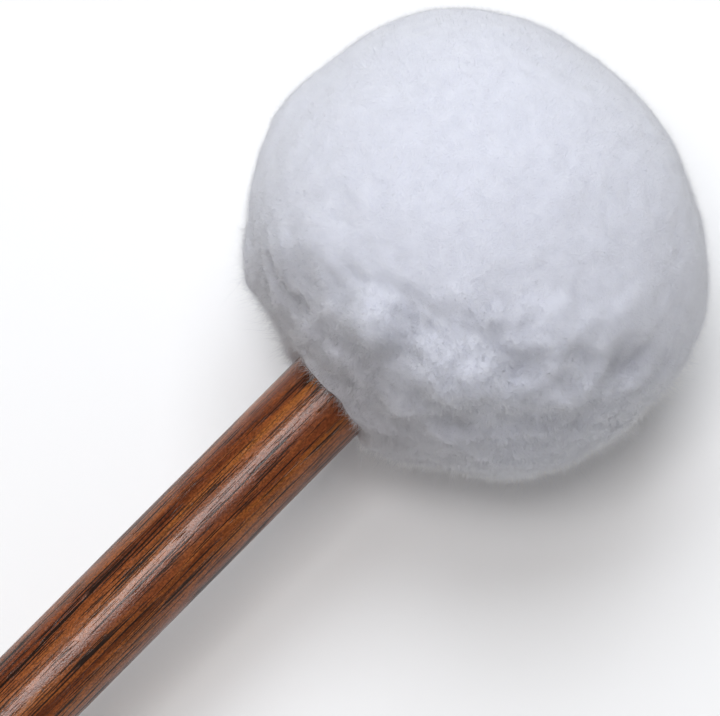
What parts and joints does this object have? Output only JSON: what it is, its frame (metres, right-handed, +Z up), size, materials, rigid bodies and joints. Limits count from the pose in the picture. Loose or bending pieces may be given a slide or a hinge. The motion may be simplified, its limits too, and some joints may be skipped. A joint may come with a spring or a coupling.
{
  "type": "fleece-headed drum mallet",
  "caption": "Straight lacquered wooden handle with a large round head of layered felt under a gathered fleece cover, for soft strokes on timpani, bass drum or gong.",
  "frame": {"origin": "on the table, under the middle of the whole mallet as it lies on its head and butt", "axes": "+X from the butt towards the head along the table, +Z up; the mallet's own axis rises 5.2 degrees from the butt to the head"},
  "size_m": [0.3802, 0.0796, 0.0788],
  "materials": {
    "stained_wood": "reddish-brown stain under satin lacquer, open straight grain",
    "wedge_wood": "plain sawn hardwood",
    "core_wood": "turned, unfinished pale hardwood",
    "firm_felt": "firm pressed wool felt",
    "soft_felt": "soft wool felt",
    "seam_thread": "waxed linen thread",
    "gathering_thread": "white nylon thread",
    "waxed_cord": "waxed cord",
    "fleece": "white deep-pile fleece, matte and downy"
  },
  "bodies": {
    "root": {"handle": "stained_wood", "tenon_wedge": "wedge_wood", "head_core": "core_wood", "inner_felt": "firm_felt", "outer_felt": "soft_felt", "felt_seam_thread": "seam_thread", "gathering_thread": "gathering_thread", "neck_binding": "waxed_cord", "fleece_cover": "fleece"}
  },
  "joints": []
}
